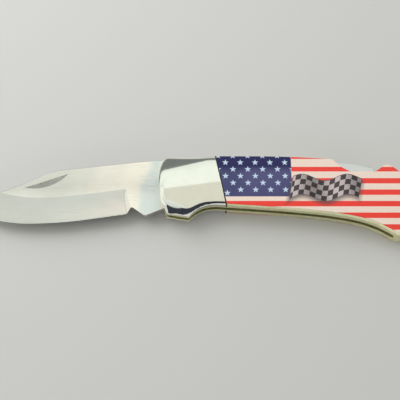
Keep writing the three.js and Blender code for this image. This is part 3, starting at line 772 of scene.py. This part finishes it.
def softened_line(points, softness_mm):
    """Height of a line of (place, height) points at any place, with its corners softened."""
    points = sorted(points)
    places = [place for place, height in points]

    def height(place):
        after = bisect.bisect(places, place)
        if after in (0, len(points)):
            return points[min(after, len(points) - 1)][1]
        (left, low), (right, high) = points[after - 1], points[after]
        return low + (high - low) * (place - left) / max(right - left, 1e-6)

    def softened(place):
        total = weight = 0.0
        for step in range(-SIDE_SAMPLES, SIDE_SAMPLES + 1):
            aside = step * softness_mm / SOFTNESS_SAMPLES
            share = math.exp(-((aside / softness_mm) ** 2))
            total += share * height(place + aside)
            weight += share
        return total / weight

    return softened


def bolster_drop(x, y, lines):
    """How far the outer face lies below its highest plane at a place, all in millimetres."""
    forward = min(max((lines["front"](0) + RIM_LENGTH_MM - x) / RIM_LENGTH_MM, 0), 1)
    crown = CROWN_DROP_MM * ((y - CROWN_MIDDLE_MM) / CROWN_HALF_MM) ** 2
    drop = CROWN_LEVEL_MM + crown + y * (TWIST_SLOPE - TWIST_FADE * x)
    for (at_joint, at_front), inside in (
        (BACK_RIM_MM, lines["back"](x) - y),
        (BELLY_RIM_MM, y - lines["belly"](x)),
        (FRONT_RIM_MM, x - lines["front"](y)),
    ):
        width, depth = (a + (b - a) * forward for a, b in zip(at_joint, at_front))
        share = max(1 - inside / width, 0)
        drop += depth * (share**2 if share < 1 else 2 * share - 1)
    return max(drop, 0)


def join_outer_face(piece, outer, towards):
    """Join the outer face and its rim into one level face, and return the soft lines of its outline."""

    def rim_or_face(face):
        near_outer = abs(face.calc_center_median().z - outer) < RIM_DEPTH_MM * MM
        return near_outer and face.normal.z * towards > RIM_FACING

    select_faces(piece, rim_or_face)
    bpy.ops.mesh.dissolve_faces()
    mesh = bmesh.from_edit_mesh(piece.data)
    cap = max(mesh.faces, key=lambda face: face.calc_area())
    points = {name: [] for name in LINE_SOFTNESS_MM}
    for edge in cap.edges:
        wall = sum((face.normal for face in edge.link_faces if face != cap), Vector())
        for corner in edge.verts:
            x, y = corner.co.x / MM, corner.co.y / MM
            if wall.x < -FRONT_FACING:
                points["front"].append((y, x))
            elif wall.y > SIDE_FACING:
                points["back"].append((x, y))
            elif wall.y < -SIDE_FACING:
                points["belly"].append((x, y))
    for vertex in cap.verts:
        vertex.co.z = outer
    bmesh.update_edit_mesh(piece.data)
    return {name: softened_line(points[name], softness) for name, softness in LINE_SOFTNESS_MM.items()}


def cut_into_grid(piece, outer, low, high):
    """Cut the level outer face into small squares, without slivers along its outline."""

    def level(face):
        return all(abs(vertex.co.z - outer) < LEVEL_MM * MM for vertex in face.verts)

    for axis in (0, 1):
        across = tuple(float(step == axis) for step in range(3))
        place = low[axis] + BOLSTER_GRID_MM * MM
        while place < high[axis]:
            select_faces(piece, level)
            bpy.ops.mesh.bisect(plane_co=[place * step for step in across], plane_no=across)
            place += BOLSTER_GRID_MM * MM
    select_faces(piece, level)
    bpy.ops.mesh.remove_doubles(threshold=SLIVER_MM * MM)


def bolster(side):
    piece = copy_of(f"{side}_bolster", f"{side}_polished_bolster")
    low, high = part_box(f"{side}_bolster")
    towards = 1 if side == "near" else -1
    outer = high[2] if side == "near" else low[2]
    only(piece)
    bpy.ops.object.mode_set(mode="EDIT")
    bpy.ops.mesh.select_mode(type="FACE")
    lines = join_outer_face(piece, outer, towards)
    cut_into_grid(piece, outer, low, high)
    mesh = bmesh.from_edit_mesh(piece.data)
    for vertex in mesh.verts:
        if abs(vertex.co.z - outer) < LEVEL_MM * MM:
            drop = bolster_drop(vertex.co.x / MM, vertex.co.y / MM, lines)
            vertex.co.z = outer - towards * drop * MM
    bmesh.update_edit_mesh(piece.data)
    bpy.ops.object.mode_set(mode="OBJECT")
    ease_edges(piece, BOLSTER_EASE_MM, sharper_than(BOLSTER_CORNER), segments=3)
    polish(piece, POLISHED_STEEL, BOLSTER_CREASE)


def side_plates(side):
    for node, name, slot, material, width_mm in (
        (f"{side}_scale", f"{side}_brass_scale", "brass", PALE_BRASS, SCALE_EASE_MM),
        (f"{side}_flag_panel", f"{side}_printed_sheet", "printed_panel", PRINTED_PANEL, SHEET_EASE_MM),
        (f"{side}_liner", f"{side}_brass_liner", "brass", PALE_BRASS, LINER_EASE_MM),
    ):
        plate = copy_of(node, name)
        ease_edges(plate, width_mm, sharper_than(PLATE_CORNER), segments=2)
        polish(plate, material, PLATE_CREASE)


def lock_bar():
    bar = copy_of("lock_bar", "rocking_lock_bar")
    ease_edges(bar, BAR_EASE_MM, sharper_than(BAR_CORNER), segments=3)
    polish(bar, SPRING_STEEL, BAR_CREASE)


def rear_spacer():
    spacer = copy_of("rear_spacer", "brass_rear_spacer")
    ease_edges(spacer, SPACER_EASE_MM, sharper_than(BAR_CORNER), segments=2)
    polish(spacer, PALE_BRASS, BAR_CREASE)


def leaf_spring():
    """The leaf, held in the rear spacer. It rides on no body, and its place is baked into its mesh."""
    leaf = copy_of("lock_spring", "bending_leaf_spring", rides=False)
    ease_edges(leaf, LEAF_EASE_MM, sharper_than(BAR_CORNER), segments=2)
    polish(leaf, SPRING_STEEL, BAR_CREASE)
    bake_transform(leaf)


def bare_nodes():
    """Nodes whose own shape is right get their material alone."""
    for node, material in {
        "near_joint_strip": BLACK_FIBRE,
        "far_joint_strip": BLACK_FIBRE,
        "near_bolster_pin": PALE_BRASS,
        "far_bolster_pin": PALE_BRASS,
        "pivot_pin": SPRING_STEEL,
        "rocker_pin": SPRING_STEEL,
        "rear_rivet_upper": PALE_BRASS,
        "rear_rivet_heel": PALE_BRASS,
    }.items():
        part = frame["nodes"][node]
        part.data.materials.clear()
        part.data.materials.append(material)


blade()
bolster("near")
bolster("far")
side_plates("near")
side_plates("far")
lock_bar()
rear_spacer()
leaf_spring()
bare_nodes()


# Room, light and camera


# The room is bands of color by direction, as steps of (start, softness, color) in degrees. The lean is
# from straight up towards the knife's back, and the turn is from straight up towards its butt. Below
# LEFT_END the room is the part that the blade mirrors, and beyond it the part that the bolsters mirror.
LEFT_END = -2.9
LEFT_END_SOFT = 0.05

# Bright band behind the knife by turn, where it starts for the blade and for the bolsters, and its slant
SKY_FIRST = (0.88, 0.91, 0.87, 1)
SKY_BY_TURN = (
    (-12.3, 1.0, (0.83, 0.86, 0.81, 1)),
    (-10.2, 1.2, (0.89, 0.92, 0.87, 1)),
    (-8.4, 0.5, (1.03, 1.02, 0.95, 1)),
    (-6.4, 0.5, (1.12, 1.09, 1.0, 1)),
    (-4.4, 0.08, (0.80, 0.91, 0.93, 1)),
    (-3.7, 0.6, (0.72, 0.82, 0.82, 1)),
)
SKY_RIGHT = (1.13, 1.17, 1.11, 1)
SKY_START = (18.0, 21.6)
SKY_SOFT = 0.15
SKY_SLANT = 0.63
SKY_SLANT_LEAN = (21.9, 23.2)

# In the blade's part of the band, a bright streak up to one lean and a gain from another
STREAK_LEAN = (21.3, 21.8)
STREAK_GAIN = 1.24
GAIN_LEAN = (21.9, 22.9)
GAIN = 1.16

# Ceiling by turn, up to one lean and from another, with a smooth change between them
LOW_CEILING_FIRST = (1.15, 1.14, 1.07, 1)
LOW_CEILING = (
    (-22.0, 3.0, (0.83, 0.87, 0.85, 1)),
    (-8.8, 1.0, (0.87, 0.92, 0.90, 1)),
    (-5.5, 1.0, (0.91, 0.94, 0.91, 1)),
    (LEFT_END, 0.2, (0.87, 0.855, 0.765, 1)),
)
HIGH_CEILING_FIRST = (1.2, 1.18, 1.1, 1)
HIGH_CEILING = (
    (-22.0, 3.0, (0.87, 0.91, 0.87, 1)),
    (-10.0, 1.5, (0.95, 0.99, 0.93, 1)),
    (-7.8, 1.0, (1.08, 1.08, 1.02, 1)),
    (-5.6, 0.5, (1.18, 1.11, 1.03, 1)),
    (-4.2, 0.2, (0.87, 0.855, 0.765, 1)),
)
CEILING_LEAN = (7.0, 15.5)

# Room past the bright band, by lean, down to the wall behind the knife
ABOVE_SKY = (
    (24.0, 0.3, (1.12, 1.17, 1.11, 1)),
    (25.5, 1.5, (1.02, 1.06, 1.01, 1)),
    (28.0, 1.5, (0.80, 0.83, 0.80, 1)),
    (30.2, 1.5, (0.28, 0.30, 0.29, 1)),
    (36.0, 3.0, (0.225, 0.245, 0.245, 1)),
    (70.0, 4.0, (0.80, 0.80, 0.77, 1)),
)

# Front of the room by lean, up to the ceiling
FRONT_FOOT = (0.80, 0.80, 0.79, 1)
FRONT_WALL = (0.80, 0.80, 0.77, 1)
FRONT_START = -70.0
FRONT_SOFT = 12.0
CEILING_START = -30.0
CEILING_SOFT = 6.0

# Black card in front of the knife: its lean, its slanted left edge, its right edge and its softness
CARD_LEAN = (-53.0, -12.0)
CARD_SLANT = 0.5
CARD_SLANT_START = -3.0
CARD_TURN_END = 65.0
CARD_SOFT = 1
CARD_TONE = (0.045, 0.05, 0.07, 1)

# Floor, just under the knife
FLOOR_SIZE = 6.0
FLOOR_GAP_MM = 0.1
FLOOR_TONE = (0.60, 0.60, 0.59, 1)
FLOOR_ROUGHNESS = 0.9

# Soft lamp, up behind the blade and aimed at the pivot
LAMP_PLACE = (-0.35, 0.38, 0.42)
LAMP_SIZE = 0.55
LAMP_WATTS = 3.4


def floor_material():
    material, tree, shader = new_material("pale_floor")
    give(tree, shader.inputs["Base Color"], FLOOR_TONE)
    give(tree, shader.inputs["Roughness"], FLOOR_ROUGHNESS)
    return material


def floor():
    nothing_selected()
    bpy.ops.mesh.primitive_plane_add(size=FLOOR_SIZE, location=(0, 0, -FLOOR_GAP_MM * MM))
    ground = bpy.context.object
    ground.name = "floor"
    ground.data.materials.append(floor_material())


def stepped(tree, value, first, steps):
    """A color that changes at each step of a value."""
    color = first
    for start, soft, shade in steps:
        color = mixed(tree, ramp(tree, value, start, start + soft), color, shade)
    return color


def degrees_from_up(tree, direction, axis):
    angle = math_node(tree, "ARCTAN2", direction[axis], direction["Z"])
    return math_node(tree, "DEGREES", angle)


def past_left_end(tree, turn, *values):
    return ramp(tree, turn, LEFT_END - LEFT_END_SOFT, LEFT_END + LEFT_END_SOFT, *values)


def bright_band(tree, lean, turn):
    slant_end = SKY_SLANT * (SKY_SLANT_LEAN[1] - SKY_SLANT_LEAN[0])
    slant = ramp(tree, lean, *SKY_SLANT_LEAN, 0.0, slant_end)
    left = stepped(tree, math_node(tree, "SUBTRACT", turn, slant), SKY_FIRST, SKY_BY_TURN)
    streak = ramp(tree, lean, *STREAK_LEAN, STREAK_GAIN, 1.0)
    gain = math_node(tree, "MULTIPLY", streak, ramp(tree, lean, *GAIN_LEAN, 1.0, GAIN))
    return mixed(tree, past_left_end(tree, turn), scaled(tree, left, gain), SKY_RIGHT)


def card_cover(tree, lean, turn):
    """1 where the black card stands in the way, 0 elsewhere."""
    slanted = math_node(tree, "MULTIPLY_ADD", lean, -CARD_SLANT, turn)
    cover = ramp(tree, slanted, CARD_SLANT_START - CARD_SOFT, CARD_SLANT_START)
    for value, outside, inside in (
        (lean, CARD_LEAN[0] - CARD_SOFT, CARD_LEAN[0]),
        (lean, CARD_LEAN[1] + CARD_SOFT, CARD_LEAN[1]),
        (turn, CARD_TURN_END + CARD_SOFT, CARD_TURN_END),
    ):
        cover = math_node(tree, "MULTIPLY", cover, ramp(tree, value, outside, inside))
    return cover


def studio_world():
    """Surroundings in bands: a bright band behind the knife, a pale ceiling, darker walls and a card."""
    world = bpy.data.worlds.new("studio")
    bpy.context.scene.world = world
    world.use_nodes = True
    tree = world.node_tree
    direction = split_vector(tree, tree.nodes.new("ShaderNodeTexCoord").outputs["Generated"])
    lean = degrees_from_up(tree, direction, "Y")
    turn = degrees_from_up(tree, direction, "X")

    low_ceiling = stepped(tree, turn, LOW_CEILING_FIRST, LOW_CEILING)
    high_ceiling = stepped(tree, turn, HIGH_CEILING_FIRST, HIGH_CEILING)
    ceiling = mixed(tree, ramp(tree, lean, *CEILING_LEAN), low_ceiling, high_ceiling)
    walls = ((FRONT_START, FRONT_SOFT, FRONT_WALL), (CEILING_START, CEILING_SOFT, ceiling))
    color = stepped(tree, lean, FRONT_FOOT, walls)
    sky_start = past_left_end(tree, turn, *SKY_START)
    past_start = math_node(tree, "SUBTRACT", lean, sky_start)
    color = mixed(tree, ramp(tree, past_start, 0.0, SKY_SOFT), color, bright_band(tree, lean, turn))
    color = stepped(tree, lean, color, ABOVE_SKY)
    color = mixed(tree, card_cover(tree, lean, turn), color, CARD_TONE)
    background = tree.nodes["Background"]
    give(tree, background.inputs["Color"], color)
    give(tree, background.inputs["Strength"], 1.0)


def softbox():
    light = bpy.data.lights.new("softbox", "AREA")
    light.shape = "RECTANGLE"
    light.size = LAMP_SIZE
    light.size_y = LAMP_SIZE
    light.energy = LAMP_WATTS
    lamp = bpy.data.objects.new("softbox", light)
    bpy.context.scene.collection.objects.link(lamp)
    lamp.location = LAMP_PLACE
    lamp.rotation_euler = (-Vector(LAMP_PLACE)).to_track_quat("-Z", "Y").to_euler()
    lamp.visible_glossy = False


def camera():
    lens = bpy.data.cameras.new("camera")
    lens.lens = VIEW_LENS_MM
    lens.sensor_width = SENSOR_MM
    eye = bpy.data.objects.new("camera", lens)
    bpy.context.scene.collection.objects.link(eye)
    elevation = math.radians(VIEW_ELEVATION)
    back = Vector((0, -math.cos(elevation), math.sin(elevation)))
    eye.location = VIEW_TARGET + VIEW_DISTANCE * back
    eye.rotation_euler = (-back).to_track_quat("-Z", "Y").to_euler()
    bpy.context.scene.camera = eye


floor()
studio_world()
softbox()
camera()
bpy.context.scene.view_settings.view_transform = "Standard"
